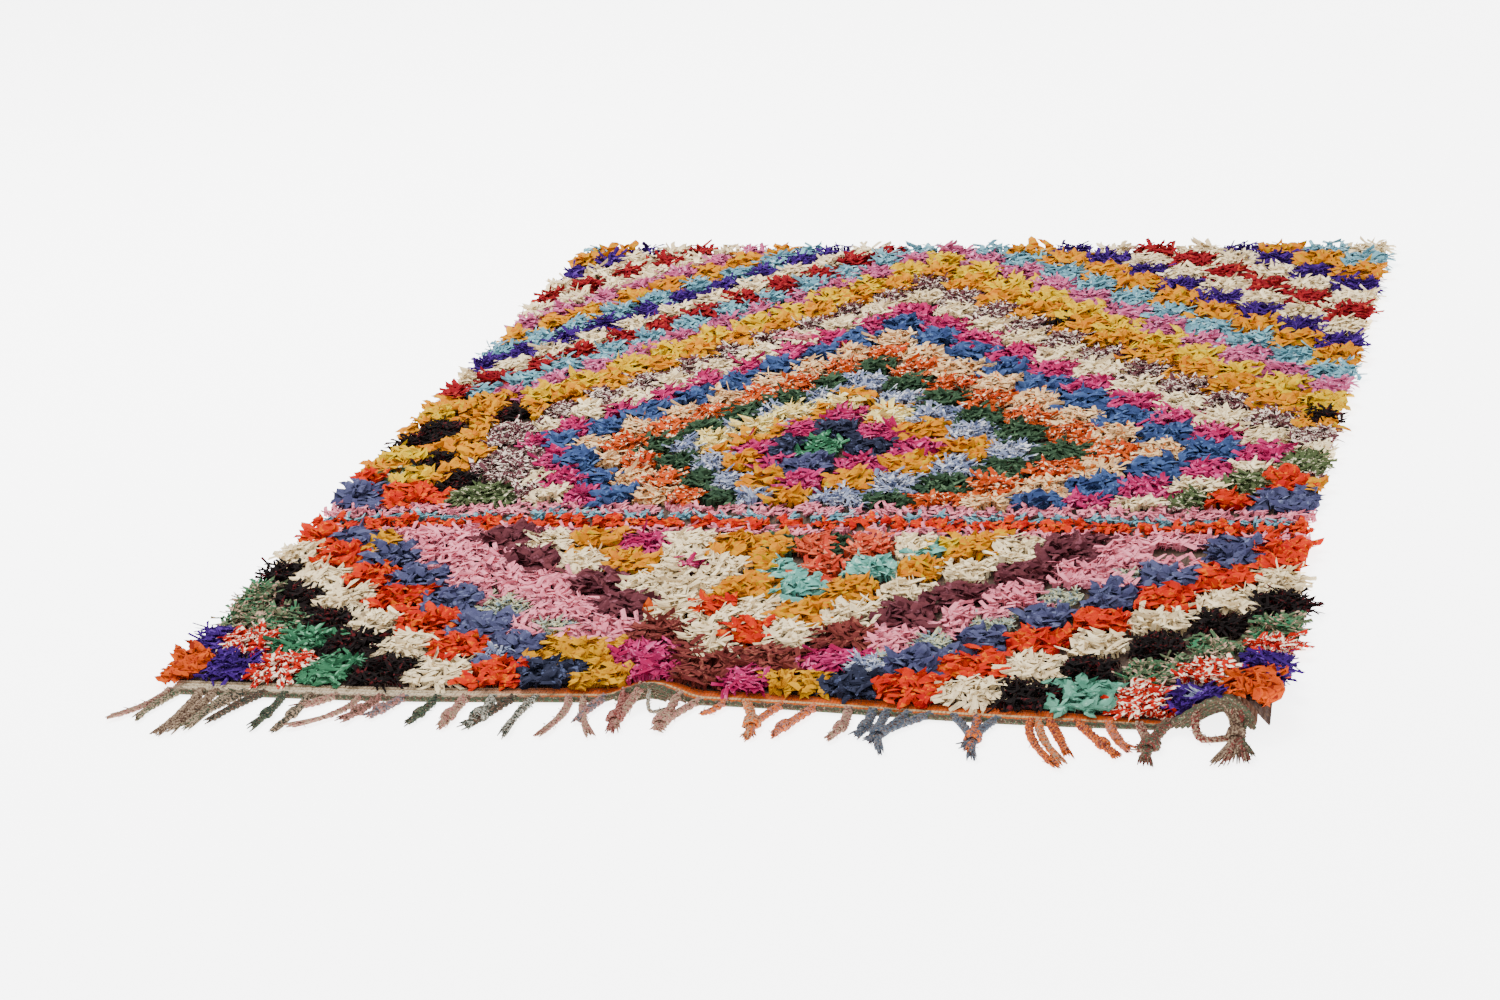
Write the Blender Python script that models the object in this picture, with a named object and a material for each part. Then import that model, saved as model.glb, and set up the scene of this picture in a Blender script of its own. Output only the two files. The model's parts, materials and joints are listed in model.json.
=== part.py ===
"""Boucherouite rug: a shaggy slab of ground weave with its rag pile, and a flat-woven front end
band with its warp fringe. The far end points along +Y and the rug rests on its flat underside."""
import math
from collections import namedtuple

import bmesh
import bpy

# Rug sizes in metres, origin at the middle of the rug on the floor
LENGTH = 1.89
FRONT = -LENGTH / 2
FAR = LENGTH / 2 - 0.012
GROUND_THICK = 0.008
PILE_HIGH = 0.036
PILE_LOW = 0.016
RAG_BLOCK = (0.085, 0.074)
EDGE_FADE_POWER = 4

# Shares of the pile's spread of heights that come from each cause, and the share that all has
BASE_SHARE = 0.10
DOME_SHARE = 0.42
BLOCK_SHARE = 0.20
TUFT_SHARE = 0.28
PIECE_GAP = 0.0003

# Flat-woven band at the front end
BAND_DEEP = 0.038
BAND_THICK = 0.006
BAND_COLUMN = 0.028
BAND_SIDE_INSET = 0.004
BAND_TAPER_FROM = 0.42
BAND_TAPER_WIDE = 0.32
BAND_END_SHARE = 0.32
WALL_FACING = 0.6

# Locks of rag at the rim
LOCK_REACH = 0.026
LOCK_REACH_SPREAD = 0.012
LOCK_TIP_HIGH = 0.009
LOCK_TIP_SHARE = 0.45
LOCK_RISE_SHARE = 0.7
FRONT_LOCK_REACH = 0.0125
FRONT_LOCK_SPREAD = 0.009
FRONT_LOCK_REST = 0.0095

# Strands of the fringe
STRAND_HIGH = 0.010
STRAND_TIP_SHARE = 0.62
STRAND_STEPS = 5
STRAND_DROP_SHARE = 0.62
STRAND_CURL = 0.16
STRAND_LUMP = 0.10

# Seen from above, side edges of the ground at stations along the rug
Edge = namedtuple("Edge", "y left right")
EDGES = [
    Edge(-0.945, -0.738, 0.740),
    Edge(-0.800, -0.736, 0.742),
    Edge(-0.600, -0.738, 0.740),
    Edge(-0.400, -0.734, 0.730),
    Edge(0.050, -0.738, 0.725),
    Edge(0.400, -0.731, 0.734),
    Edge(0.945, -0.735, 0.738),
]

# Front edge line seen from above: a slight skew, and a bow back at the middle
EDGE_LEFT_BACK = -0.008
EDGE_RIGHT_BACK = 0.006
BOW_BACK = 0.023
BOW_HALF = 0.50

# Waves where the front edge stands off the floor: crest start and heading, widths to either side
Wave = namedtuple("Wave", "x y heading high left right back")
WAVES = [
    Wave(-0.050, FRONT, 90.0, 0.024, 0.075, 0.070, 0.13),
    Wave(0.700, FRONT, 56.0, 0.045, 0.080, 0.042, 0.20),
]

# Strands of the fringe: root across, tip across from the root, tip before the edge line, width
Strand = namedtuple("Strand", "root aside reach wide")
STRANDS = [
    Strand(-0.732, -0.045, 0.086, 0.011),
    Strand(-0.716, -0.020, 0.086, 0.010),
    Strand(-0.685, -0.006, 0.130, 0.012),
    Strand(-0.669, -0.007, 0.124, 0.012),
    Strand(-0.645, -0.016, 0.115, 0.012),
    Strand(-0.618, -0.035, 0.076, 0.011),
    Strand(-0.596, -0.036, 0.092, 0.013),
    Strand(-0.562, -0.006, 0.101, 0.013),
    Strand(-0.530, -0.006, 0.105, 0.013),
    Strand(-0.484, -0.024, 0.044, 0.012),
    Strand(-0.452, -0.062, 0.091, 0.012),
    Strand(-0.422, -0.029, 0.071, 0.013),
    Strand(-0.387, -0.028, 0.058, 0.013),
    Strand(-0.343, -0.014, 0.068, 0.013),
    Strand(-0.308, -0.002, 0.075, 0.014),
    Strand(-0.268, -0.008, 0.071, 0.012),
    Strand(-0.238, -0.016, 0.060, 0.012),
    Strand(-0.205, -0.010, 0.088, 0.012),
    Strand(-0.167, -0.004, 0.083, 0.013),
    Strand(-0.141, 0.010, 0.078, 0.012),
    Strand(-0.113, 0.002, 0.048, 0.012),
    Strand(-0.083, -0.001, 0.064, 0.013),
    Strand(-0.057, -0.007, 0.060, 0.012),
    Strand(-0.012, -0.008, 0.053, 0.012),
    Strand(0.014, -0.014, 0.047, 0.011),
    Strand(0.051, -0.022, 0.008, 0.010),
    Strand(0.082, 0.014, 0.064, 0.012),
    Strand(0.125, -0.012, 0.054, 0.012),
    Strand(0.171, -0.032, 0.056, 0.013),
    Strand(0.213, -0.004, 0.060, 0.013),
    Strand(0.246, -0.003, 0.046, 0.013),
    Strand(0.272, 0.004, 0.089, 0.012),
    Strand(0.298, -0.006, 0.038, 0.012),
    Strand(0.325, -0.010, 0.044, 0.011),
    Strand(0.355, 0.018, 0.044, 0.012),
    Strand(0.384, 0.004, 0.058, 0.012),
    Strand(0.410, 0.000, 0.099, 0.013),
    Strand(0.466, 0.047, 0.091, 0.017),
    Strand(0.513, 0.061, 0.071, 0.013),
    Strand(0.553, 0.038, 0.056, 0.013),
    Strand(0.591, 0.020, 0.044, 0.012),
    Strand(0.640, -0.008, 0.096, 0.014),
    Strand(0.684, 0.008, 0.082, 0.013),
    Strand(0.712, 0.020, 0.068, 0.013),
]

# Columns across and rows along the slab, closer where the edge rises
Stop = namedtuple("Stop", "index place")
COLUMNS = [Stop(0, -1.0), Stop(36, 0.76), Stop(45, 1.0)]
ROWS = [Stop(0, 0.0), Stop(6, 0.066), Stop(49, 1.0)]


def blend(table, key, value, at):
    """Value at a place in a table whose rows rise in the key column."""
    first, last = table[0], table[-1]
    if at <= getattr(first, key):
        return getattr(first, value)
    for low, high in zip(table, table[1:]):
        if at <= getattr(high, key):
            span = getattr(high, key) - getattr(low, key)
            share = (at - getattr(low, key)) / span
            return getattr(low, value) * (1 - share) + getattr(high, value) * share
    return getattr(last, value)


def noise(a, b, salt):
    """Even number from 0 to 1 that depends only on two places and a salt."""
    raw = math.sin(a * 127.1 + b * 311.7 + salt * 74.7) * 43758.5453
    return raw - math.floor(raw)


def bell(share):
    """One at the crest, level and zero from one outwards."""
    return math.cos(math.pi / 2 * min(abs(share), 1.0)) ** 2


def lift(x, y):
    """Height of the rug's underside above the floor."""
    height = 0.0
    for wave in WAVES:
        turn = math.radians(wave.heading)
        along = (x - wave.x) * math.cos(turn) + (y - wave.y) * math.sin(turn)
        aside = (x - wave.x) * math.sin(turn) - (y - wave.y) * math.cos(turn)
        width = wave.right if aside > 0 else wave.left
        height += wave.high * bell(aside / width) * bell(max(along, 0.0) / wave.back)
    return height


def edge_back(x):
    """How far the front edge lies back from its straight line."""
    share = x / (EDGES[0].right - EDGES[0].left) + 0.5
    skew = EDGE_LEFT_BACK * (1 - share) + EDGE_RIGHT_BACK * share
    return skew + BOW_BACK * bell(x / BOW_HALF)


def band_deep(x):
    """Depth of the woven band, which narrows towards its lifted corner."""
    share = min(max((x - BAND_TAPER_FROM) / BAND_TAPER_WIDE, 0.0), 1.0)
    return BAND_DEEP * (1 - (1 - BAND_END_SHARE) * share * share * (3 - 2 * share))


def pile_height(x, y):
    """Height of the tuft tips above the underside: domed rag blocks of uneven height."""
    column = x / RAG_BLOCK[0]
    row = y / RAG_BLOCK[1]
    dome = abs(math.sin(math.pi * column)) * abs(math.sin(math.pi * row))
    block = noise(math.floor(column), math.floor(row), 1)
    tuft = noise(round(x, 3), round(y, 3), 2)
    share = BASE_SHARE + DOME_SHARE * dome + BLOCK_SHARE * block + TUFT_SHARE * tuft
    return PILE_LOW + (PILE_HIGH - PILE_LOW) * share


def grid_plane(columns, rows):
    """Flat grid whose points still hold their column and row as x and y."""
    mesh = bmesh.new()
    bmesh.ops.create_grid(mesh, x_segments=columns, y_segments=rows, size=0.5)
    for point in mesh.verts:
        point.co.x = round((point.co.x + 0.5) * columns)
        point.co.y = round((point.co.y + 0.5) * rows)
    return mesh


def raised(mesh, faces, height_at):
    """Faces extruded upwards, each new point set to a height worked out at its place."""
    made = bmesh.ops.extrude_face_region(mesh, geom=faces)["geom"]
    for item in made:
        if isinstance(item, bmesh.types.BMVert):
            item.co.z = height_at(item.co.x, item.co.y)
    return [item for item in made if isinstance(item, bmesh.types.BMFace)]


def finish(name, mesh, colour, roughness):
    """Closed mesh made an object of the rug's collection, with its own material."""
    bmesh.ops.recalc_face_normals(mesh, faces=mesh.faces[:])
    bmesh.ops.triangulate(mesh, faces=mesh.faces[:])
    data = bpy.data.meshes.new(name)
    mesh.to_mesh(data)
    mesh.free()
    material = bpy.data.materials.new(name)
    material.use_nodes = True
    shader = material.node_tree.nodes["Principled BSDF"]
    shader.inputs["Base Color"].default_value = (*colour, 1.0)
    shader.inputs["Roughness"].default_value = roughness
    shader.inputs["Metallic"].default_value = 0.0
    data.materials.append(material)
    solid = bpy.data.objects.new(name, data)
    collection.objects.link(solid)
    return solid


def pull_out(mesh, face, shift, tip_share, high, rest_at):
    """Face extruded by a shift and narrowed to a tip that rests at a height for its place."""
    tip = bmesh.ops.extrude_discrete_faces(mesh, faces=[face])["faces"][0]
    middle = tip.calc_center_median()
    top = sorted(tip.verts, key=lambda point: point.co.z)[2:]
    for point in tip.verts:
        across = (point.co - middle) * tip_share
        point.co.x = middle.x + shift[0] + across.x
        point.co.y = middle.y + shift[1] + across.y
        point.co.z = rest_at(point.co.x, point.co.y) + (high if point in top else 0.0)
    return tip


def over_band(x, y):
    """Height at which a lock ends that hangs over the woven band."""
    return lift(x, y) + FRONT_LOCK_REST


def beside_slab(x, y):
    """Height at which a lock ends beside the slab, near the floor where the edge rises."""
    return lift(x, y) * LOCK_RISE_SHARE


def make_slab():
    """Ground weave and rag pile in one lumpy slab with locks all round its rim."""
    columns, rows = COLUMNS[-1].index, ROWS[-1].index
    mesh = grid_plane(columns, rows)
    for point in mesh.verts:
        across = blend(COLUMNS, "index", "place", point.co.x)
        back = blend(ROWS, "index", "place", point.co.y)
        deep = FRONT + BAND_DEEP
        y = deep + (FAR - deep) * back
        side = blend(EDGES, "y", "right", y) if across > 0 else -blend(EDGES, "y", "left", y)
        x = across * side
        near = FRONT + band_deep(x) + PIECE_GAP
        point.co.x = x
        fade = (1 - back) ** EDGE_FADE_POWER
        point.co.y = near + (FAR - near) * back + edge_back(x) * fade
    for point in mesh.verts:
        point.co.z = lift(point.co.x, point.co.y)
    ground = raised(mesh, mesh.faces[:], lambda x, y: lift(x, y) + GROUND_THICK)
    pile = raised(mesh, ground, lambda x, y: lift(x, y) + pile_height(x, y))
    bmesh.ops.delete(mesh, geom=ground, context="FACES")
    top = set(pile)
    rim = sorted(
        {face for cell in pile for edge in cell.edges for face in edge.link_faces} - top,
        key=lambda face: face.calc_center_median()[:2],
    )
    mesh.normal_update()
    near_row = FRONT + BAND_DEEP + BOW_BACK + GROUND_THICK / 2
    for face in rim:
        middle = face.calc_center_median()
        spread = noise(middle.x, middle.y, 3)
        lean = (noise(middle.x, middle.y, 4) - 0.5) * LOCK_REACH
        if middle.y < near_row and abs(face.normal.y) > abs(face.normal.x):
            reach = FRONT_LOCK_REACH + FRONT_LOCK_SPREAD * (spread - 0.5)
            rest_at = over_band
        else:
            reach = LOCK_REACH + LOCK_REACH_SPREAD * (spread - 0.5)
            rest_at = beside_slab
        out = face.normal
        shift = (out.x * reach - out.y * lean, out.y * reach + out.x * lean)
        pull_out(mesh, face, shift, LOCK_TIP_SHARE, LOCK_TIP_HIGH, rest_at)
    return finish("rug_pile", mesh, (0.62, 0.36, 0.26), 0.95)


def strip_stations():
    """Places across the band: both sides of every strand, and even steps between them."""
    left = blend(EDGES, "y", "left", FRONT) + BAND_SIDE_INSET
    right = blend(EDGES, "y", "right", FRONT) - BAND_SIDE_INSET
    marks = [left]
    for strand in STRANDS:
        marks.append(strand.root - strand.wide / 2)
        marks.append(strand.root + strand.wide / 2)
    marks.append(right)
    stations = [marks[0]]
    for start, end in zip(marks, marks[1:]):
        steps = max(1, math.ceil((end - start) / BAND_COLUMN))
        stations += [start + (end - start) * step / steps for step in range(1, steps + 1)]
    return stations


def grow_strand(mesh, face, strand):
    """One strand of fringe drawn out of the band's front face, level on the floor."""
    middle = face.calc_center_median()
    low = lift(middle.x, middle.y)
    reach = middle.y - (FRONT - strand.reach)
    curl = (noise(strand.root, strand.reach, 5) - 0.5) * STRAND_CURL
    for step in range(1, STRAND_STEPS + 1):
        share = step / STRAND_STEPS
        before = (step - 1) / STRAND_STEPS
        bend = curl * (bell(2 * share - 1) - bell(2 * before - 1))
        shift = (strand.aside / STRAND_STEPS + bend * reach, -reach / STRAND_STEPS)
        lump = 1.0 + STRAND_LUMP * math.cos(math.pi * step)
        high = STRAND_HIGH * lump * (1 - (1 - STRAND_TIP_SHARE) * share)
        narrow = STRAND_TIP_SHARE ** (1 / STRAND_STEPS)
        rest = low * (1 - min(1.0, share / STRAND_DROP_SHARE)) ** 2
        face = pull_out(mesh, face, shift, narrow, high, lambda x, y: rest)


def make_band():
    """Flat-woven end band with the warp ends drawn out of its front edge as fringe."""
    stations = strip_stations()
    mesh = grid_plane(len(stations) - 1, 1)
    for point in mesh.verts:
        x = stations[round(point.co.x)]
        far = point.co.y > 0.5
        point.co.y = FRONT + edge_back(x) + (band_deep(x) if far else 0.0)
        point.co.x = x
        point.co.z = lift(x, point.co.y)
    raised(mesh, mesh.faces[:], lambda x, y: lift(x, y) + BAND_THICK)
    mesh.normal_update()
    walls = [face for face in mesh.faces if abs(face.normal.y) > WALL_FACING]
    fronts = []
    for face in walls:
        middle = face.calc_center_median()
        if middle.y < FRONT + edge_back(middle.x) + band_deep(middle.x) / 2:
            fronts.append(face)
    places = [face.calc_center_median().x for face in fronts]
    roots = [
        fronts[min(range(len(places)), key=lambda index: abs(places[index] - strand.root))]
        for strand in STRANDS
    ]
    for root, strand in zip(roots, STRANDS):
        grow_strand(mesh, root, strand)
    return finish("front_end_band", mesh, (0.62, 0.48, 0.34), 0.9)


for old in list(bpy.data.objects):
    bpy.data.objects.remove(old, do_unlink=True)

collection = bpy.data.collections.new("boucherouite_rug")
bpy.context.scene.collection.children.link(collection)
make_slab()
make_band()
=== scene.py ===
import json
import math
from collections import namedtuple

import bmesh
import bpy
import numpy as np
from mathutils import Euler, Matrix, Vector

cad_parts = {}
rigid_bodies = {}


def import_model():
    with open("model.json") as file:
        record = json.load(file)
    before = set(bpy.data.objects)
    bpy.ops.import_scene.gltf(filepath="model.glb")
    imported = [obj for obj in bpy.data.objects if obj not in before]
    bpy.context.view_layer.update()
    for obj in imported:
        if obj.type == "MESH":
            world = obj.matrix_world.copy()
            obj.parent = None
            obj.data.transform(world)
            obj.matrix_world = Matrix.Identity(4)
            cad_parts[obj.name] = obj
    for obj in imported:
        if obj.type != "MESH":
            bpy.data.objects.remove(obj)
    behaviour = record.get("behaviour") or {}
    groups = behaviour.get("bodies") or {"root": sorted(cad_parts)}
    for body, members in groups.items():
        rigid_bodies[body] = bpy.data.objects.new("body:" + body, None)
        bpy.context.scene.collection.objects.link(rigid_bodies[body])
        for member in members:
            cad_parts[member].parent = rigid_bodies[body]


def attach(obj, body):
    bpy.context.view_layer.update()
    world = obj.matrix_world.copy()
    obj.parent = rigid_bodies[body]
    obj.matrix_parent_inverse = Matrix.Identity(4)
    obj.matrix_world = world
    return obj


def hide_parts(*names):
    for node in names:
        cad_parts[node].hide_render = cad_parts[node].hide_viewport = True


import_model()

bl_info = {
    "name": "Boucherouite Rug",
    "version": (1, 0, 0),
    "blender": (4, 5, 0),
    "location": "View3D > Sidebar > Rug",
    "description": "Builds a rag-pile rug with its woven end band and fringe on a packed frame",
    "category": "Add Mesh",
}

BAKE_MAP = "OFBake"

# Rug sizes in metres, as in the solids
LENGTH = 1.89
FRONT = -LENGTH / 2
FAR = LENGTH / 2 - 0.012
SIDE = 0.737
BAND_DEEP = 0.038
BAND_TAPER_FROM = 0.42
BAND_TAPER_WIDE = 0.32
BAND_END_SHARE = 0.32
EDGE_LEFT_BACK = -0.008
EDGE_RIGHT_BACK = 0.006
BOW_BACK = 0.023
BOW_HALF = 0.50

Edge = namedtuple("Edge", "y left right")
EDGES = [
    Edge(-0.945, -0.738, 0.740),
    Edge(-0.800, -0.736, 0.742),
    Edge(-0.570, -0.738, 0.752),
    Edge(-0.450, -0.735, 0.724),
    Edge(-0.250, -0.735, 0.722),
    Edge(0.050, -0.738, 0.725),
    Edge(0.400, -0.731, 0.734),
    Edge(0.945, -0.735, 0.738),
]

Wave = namedtuple("Wave", "x y heading high left right back")
WAVES = [
    Wave(-0.050, FRONT, 90.0, 0.024, 0.075, 0.070, 0.13),
    Wave(0.700, FRONT, 56.0, 0.045, 0.080, 0.042, 0.20),
]

# The camera, where its place is measured from the middle of the rug on the floor
CAMERA_PLACE = (1.159, -4.215, 1.702)
CAMERA_YAW = -17.64
CAMERA_PITCH = 22.2
CAMERA_ROLL = -5.69
CAMERA_LENS = 71.4

# The pattern is laid out as it is seen from the front on the plane of the pile's top, so a
# tuft on a raised stretch counts at the place where it hides that plane
PILE_TOP = 0.021

# Curve from a tone as it is seen to the cloth's own colour, and how much its chroma is kept
TONE_POWER = 0.93
TONE_GAIN = 0.64
TONE_CREST = 1.40
TONE_KEEP = 1.22
TONE_LEAST = 0.004
TONE_MOST = 0.90

# Rag cloths: main tone, second tone, fleck tone, share of flecks, and how the rag is cut
Rag = namedtuple("Rag", "name tone second fleck share cut")
RAGS = [
    Rag("cream", (.96, .89, .75), (.87, .78, .63), (.68, .60, .49), .05, "mid"),
    Rag("red", (.87, .30, .16), (.77, .15, .11), (.92, .46, .22), .14, "broad"),
    Rag("slate", (.38, .39, .52), (.29, .29, .42), (.48, .50, .63), .03, "broad"),
    Rag("royal", (.33, .41, .59), (.24, .29, .46), (.41, .50, .68), .08, "broad"),
    Rag("navy", (.23, .24, .32), (.17, .18, .25), (.38, .41, .54), .10, "broad"),
    Rag("violet", (.30, .18, .50), (.21, .12, .38), (.42, .30, .64), .06, "fine"),
    Rag("black", (.09, .08, .08), (.13, .10, .10), (.36, .14, .15), .07, "fine"),
    Rag("pink", (.96, .63, .68), (.90, .52, .59), (.70, .46, .50), .10, "mid"),
    Rag("raspberry", (.80, .31, .49), (.69, .17, .35), (.88, .46, .61), .08, "mid"),
    Rag("aubergine", (.46, .26, .28), (.36, .19, .22), (.55, .34, .38), .06, "broad"),
    Rag("maroon", (.54, .28, .26), (.42, .19, .19), (.64, .38, .33), .08, "mid"),
    Rag("mustard", (.88, .66, .24), (.79, .53, .15), (.64, .40, .20), .08, "broad"),
    Rag("gold", (.88, .62, .04), (.84, .49, .02), (.80, .66, .20), .08, "broad"),
    Rag("yellow", (.90, .76, .04), (.87, .66, .03), (.86, .78, .36), .08, "broad"),
    Rag("orange", (.87, .40, .13), (.78, .30, .10), (.56, .20, .10), .14, "broad"),
    Rag("turquoise", (.54, .77, .71), (.40, .64, .60), (.72, .86, .80), .08, "broad"),
    Rag("aqua", (.53, .72, .76), (.43, .59, .66), (.72, .81, .84), .08, "mid"),
    Rag("green", (.31, .53, .39), (.21, .40, .29), (.50, .72, .58), .10, "mid"),
    Rag("dark_green", (.27, .36, .27), (.17, .25, .19), (.40, .50, .38), .12, "mid"),
    Rag("coral", (.88, .42, .33), (.78, .28, .25), (.93, .58, .48), .14, "mid"),
    Rag("pale_yellow", (.92, .85, .58), (.91, .78, .50), (.94, .91, .76), .15, "mid"),
    Rag("blue_grey", (.64, .67, .76), (.47, .51, .65), (.82, .82, .84), .34, "fine"),
    Rag("orchid", (.83, .46, .59), (.73, .36, .50), (.88, .62, .74), .12, "mid"),
    Rag("peach", (.93, .81, .65), (.89, .72, .54), (.82, .46, .28), .20, "mid"),
    Rag("brick", (.65, .20, .22), (.51, .13, .17), (.78, .32, .27), .08, "mid"),
    Rag("red_print", (.85, .27, .21), (.75, .16, .15), (.95, .88, .79), .42, "mid"),
    Rag("green_print", (.27, .53, .38), (.44, .42, .33), (.80, .66, .58), .28, "fine"),
    Rag("pale_knit", (.68, .72, .66), (.80, .78, .62), (.56, .66, .72), .30, "fine"),
    Rag("mauve_print", (.45, .28, .31), (.37, .22, .22), (.90, .83, .78), .40, "fine"),
    Rag("jade", (.48, .70, .61), (.32, .55, .46), (.60, .80, .71), .03, "broad"),
    Rag("olive_print", (.30, .36, .24), (.38, .42, .29), (.80, .78, .66), .14, "mid"),
    Rag("orange_print", (.86, .42, .27), (.78, .29, .19), (.92, .83, .70), .22, "mid"),
]
RAG_INDEX = {rag.name: index for index, rag in enumerate(RAGS)}

# Half lozenge of the lower panel: rings from the corners inwards with their widths
Ring = namedtuple("Ring", "name wide")
LOWER_RINGS = [
    Ring("orange", .200), Ring("violet", .0775), Ring("red_print", .0775),
    Ring("green_print", .0775), Ring("black", .0775), Ring("cream", .0775),
    Ring("red", .0775), Ring("slate", .0775), Ring("pink", .110), Ring("aubergine", .080),
    Ring("cream", .070), Ring("gold", .075), Ring("turquoise", .070), Ring("coral", .065),
    Ring("dark_green", .300),
]
LOWER_START = 0.912
LOWER_ROW = 0.0733
LOWER_ROWS = 7

# Rings that change cloth in some rows: first and last row, side, first and last ring
Swap = namedtuple("Swap", "low high side first last name")
SWAPS = [
    Swap(0, 0, 1, 3, 3, "jade"), Swap(0, 0, -1, 3, 3, "green"), Swap(0, 0, 0, 7, 7, "navy"), Swap(0, 0, 0, 8, 8, "mustard"),
    Swap(0, 0, 0, 9, 14, "maroon"), Swap(1, 1, -1, 3, 3, "green"), Swap(1, 1, 1, 8, 8, "raspberry"),
    Swap(1, 1, -1, 8, 8, "mustard"), Swap(1, 1, -1, 9, 9, "raspberry"),
    Swap(1, 1, 0, 9, 14, "maroon"), Swap(2, 2, 0, 9, 9, "maroon"), Swap(2, 2, -1, 1, 2, "green_print"), Swap(2, 2, 1, 11, 14, "red"), Swap(2, 2, -1, 11, 14, "cream"),
    Swap(3, 3, 1, 12, 14, "cream"), Swap(3, 3, -1, 11, 14, "cream"),
    Swap(4, 4, -1, 11, 11, "cream"), Swap(4, 4, -1, 12, 12, "gold"), Swap(4, 4, 0, 13, 14, "gold"),
    Swap(5, 5, -1, 12, 13, "cream"), Swap(5, 6, -1, 14, 14, "gold"),
    Swap(5, 5, 1, 14, 14, "turquoise"), Swap(6, 6, -1, 12, 12, "raspberry"),
    Swap(6, 6, -1, 13, 13, "cream"), Swap(6, 6, 1, 12, 12, "cream"),
]

# The pink ring is wider in some rows, by side and row
PINK_RING = 8
PINK_GROWS = {
    (-1, 2): 0.070, (-1, 3): 0.075, (-1, 4): 0.080, (-1, 5): 0.035, (-1, 6): 0.037,
    (1, 4): 0.020, (1, 5): 0.016, (1, 6): 0.037,
}

# Narrow rows between the panels, upwards from the orange row's middle line
BAND_ROWS = [Ring("pink", .023), Ring("red", .035), Ring("aqua", .014), Ring("pink", .036)]
BAND_START = -0.040
Line = namedtuple("Line", "x y")
BAND_LINE = [
    Line(-.75, .555), Line(-.55, .575), Line(-.40, .585), Line(0, .600), Line(.75, .616),
]

# Lozenge of the upper panel: cloth of each ring from the middle outwards
UPPER_MIDDLE = (-0.04, 0.895)
UPPER_PITCH = 0.0705
UPPER_RIGHT = 0.93
UPPER_LEFT = 1.31
UPPER_RINGS = """green navy raspberry gold blue_grey dark_green orange_print peach royal
    raspberry cream mauve_print gold yellow orchid aqua""".split()
LEFT_RINGS = """brick cream violet aqua gold orchid cream brick cream violet gold aqua
    cream brick""".split()
RIGHT_RINGS = "gold violet cream brick cream violet gold aqua cream brick".split()

# Blocks that stand outside the rings: middle, half sizes and cloth
Patch = namedtuple("Patch", "x y wide high name")
PATCHES = [
    Patch(-.220, .920, .035, .050, "pale_yellow"), Patch(-.160, .980, .030, .032, "pale_yellow"),
    Patch(-.120, 1.040, .032, .032, "pale_yellow"), Patch(-.055, 1.085, .046, .030, "pale_yellow"),
    Patch(.035, 1.030, .036, .032, "pale_yellow"), Patch(-.045, .825, .046, .034, "slate"),
    Patch(.000, .165, .022, .024, "cream"), Patch(.058, .07, .030, .045, "raspberry"), Patch(-.065, .08, .026, .045, "raspberry"),
    Patch(.212, .160, .020, .010, "pale_knit"), Patch(.212, .125, .028, .017, "blue_grey"),
    Patch(-.300, .135, .022, .016, "blue_grey"), Patch(-.04, .295, .030, .018, "red"),
    Patch(-.13, .280, .012, .012, "orange"), Patch(-.12, .440, .022, .012, "raspberry"),
    Patch(.045, .515, .026, .042, "coral"), Patch(.215, .492, .035, .014, "turquoise"),
    Patch(.725, .095, .045, .070, "orange"), Patch(.730, .190, .050, .028, "violet"),
    Patch(.757, .165, .014, .052, "violet"), Patch(.650, .075, .040, .045, "violet"), Patch(.655, .075, .008, .010, "blue_grey"),
    Patch(-.61, .485, .022, .030, "mustard"), Patch(-.350, .287, .042, .034, "pale_knit"),
    Patch(-.258, .224, .042, .024, "pale_knit"), Patch(.43, .365, .034, .032, "pale_knit"),
    Patch(.36, .277, .032, .026, "pale_knit"), Patch(.29, .212, .030, .024, "pale_knit"),
    Patch(.51, .450, .022, .020, "pale_knit"), Patch(-.725, .665, .045, .045, "slate"),
    Patch(-.635, .665, .055, .040, "red"), Patch(-.53, .680, .055, .040, "olive_print"),
    Patch(-.74, .725, .030, .030, "red"), Patch(-.69, .745, .030, .030, "olive_print"),
    Patch(-.53, .800, .055, .080, "mauve_print"), Patch(-.57, .940, .045, .060, "mauve_print"),
    Patch(-.60, 1.02, .035, .035, "black"), Patch(-.69, .945, .045, .040, "black"),
    Patch(-.72, .880, .040, .035, "black"), Patch(-.65, .810, .045, .035, "black"),
    Patch(-.585, .735, .030, .040, "black"), Patch(.565, .700, .026, .050, "olive_print"),
    Patch(.63, .780, .035, .050, "olive_print"), Patch(.71, .860, .040, .045, "olive_print"),
    Patch(.615, .700, .027, .045, "red"), Patch(.69, .785, .030, .030, "red"),
    Patch(.69, .710, .045, .045, "slate"), Patch(.73, 1.05, .040, .028, "black"),
    Patch(.24, 1.47, .030, .018, "black"), Patch(-.22, 1.40, .025, .020, "pink"),
    Patch(-.715, .820, .040, .026, "yellow"), Patch(-.665, .745, .030, .026, "yellow"),
    Patch(-.735, 1.00, .035, .026, "yellow"), Patch(.235, .520, .030, .020, "yellow"),
]
YELLOW_GROUND = Patch(-.665, .900, .100, .190, "gold")

# A worn spot where the ground shows
WORN = Patch(.565, .520, .046, .025, "")

# How each cut of rag is shaped: strips at a knot, their sections, width and length that falls over
Cut = namedtuple("Cut", "name strips sections wide long")
CUTS = [
    Cut("broad", 4, 4, .0128, .0195),
    Cut("mid", 5, 3, .0090, .0195),
    Cut("fine", 7, 3, .0052, .0185),
]
RISE = 0.0135
VARIANTS = 10

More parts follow.
